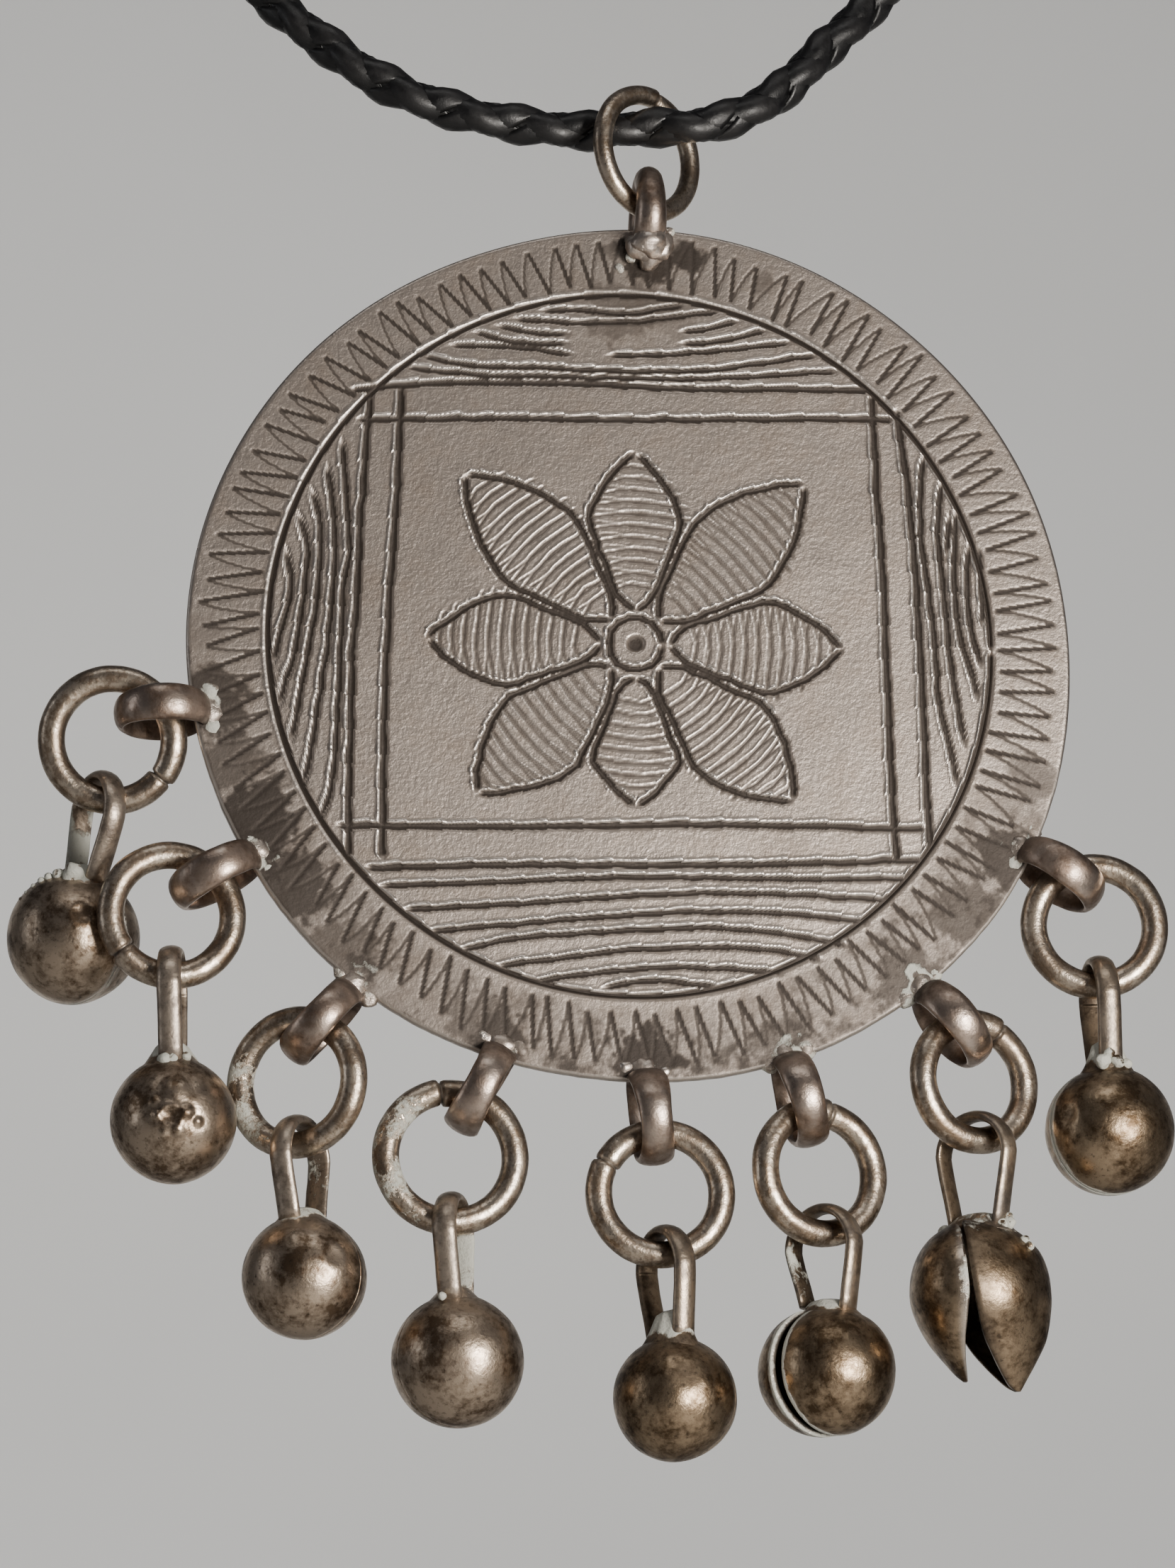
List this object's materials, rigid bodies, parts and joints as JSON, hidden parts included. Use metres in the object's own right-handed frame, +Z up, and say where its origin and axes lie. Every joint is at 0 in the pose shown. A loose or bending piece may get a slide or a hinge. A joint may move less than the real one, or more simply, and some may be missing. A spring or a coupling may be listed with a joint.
{
  "type": "amulet pendant",
  "caption": "Round engraved silver amulet disc with ball bells on jump rings round its lower rim, hung by a ring on a braided black leather cord",
  "frame": {"origin": "middle of the clasp, where the cord sits on the nape", "axes": "+Z up, -Y front (the engraved face), +X right as seen in the picture"},
  "size_m": [0.12, 0.0378, 0.2495],
  "materials": {
    "cord_leather": "black braided leather, slightly glossy",
    "clasp_silver": "plain worn silver",
    "ring_silver": "tarnished silver wire with bronze-brown patina",
    "disc_silver": "hand-engraved tarnished silver, brown in the grooves",
    "bell_silver": "mottled bronze-brown tarnished silver, pale corrosion in the joints"
  },
  "bodies": {
    "root": {"cord": "cord_leather", "clasp": "clasp_silver"},
    "ring": {"hanging_ring": "ring_silver"},
    "pendant": {"disc": "disc_silver", "jump_ring_1": "ring_silver", "jump_ring_2": "ring_silver", "jump_ring_3": "ring_silver", "jump_ring_4": "ring_silver", "jump_ring_5": "ring_silver", "jump_ring_6": "ring_silver", "jump_ring_7": "ring_silver", "jump_ring_8": "ring_silver", "bell_1": "bell_silver", "bell_2": "bell_silver", "bell_3": "bell_silver", "bell_4": "bell_silver", "bell_5": "bell_silver", "bell_6": "bell_silver", "bell_7": "bell_silver", "bell_8": "bell_silver"}
  },
  "joints": [
    {"name": "ring_swing", "type": "hinge", "parent": "root", "child": "ring", "pos_m": [0, -0.03, -0.1452], "axis": [0.9897, -0.143, 0], "range_deg": [-75, 75]},
    {"name": "pendant_swing", "type": "hinge", "parent": "ring", "child": "pendant", "pos_m": [0, -0.03, -0.1523], "axis": [1, 0, 0], "range_deg": [-75, 75]}
  ]
}
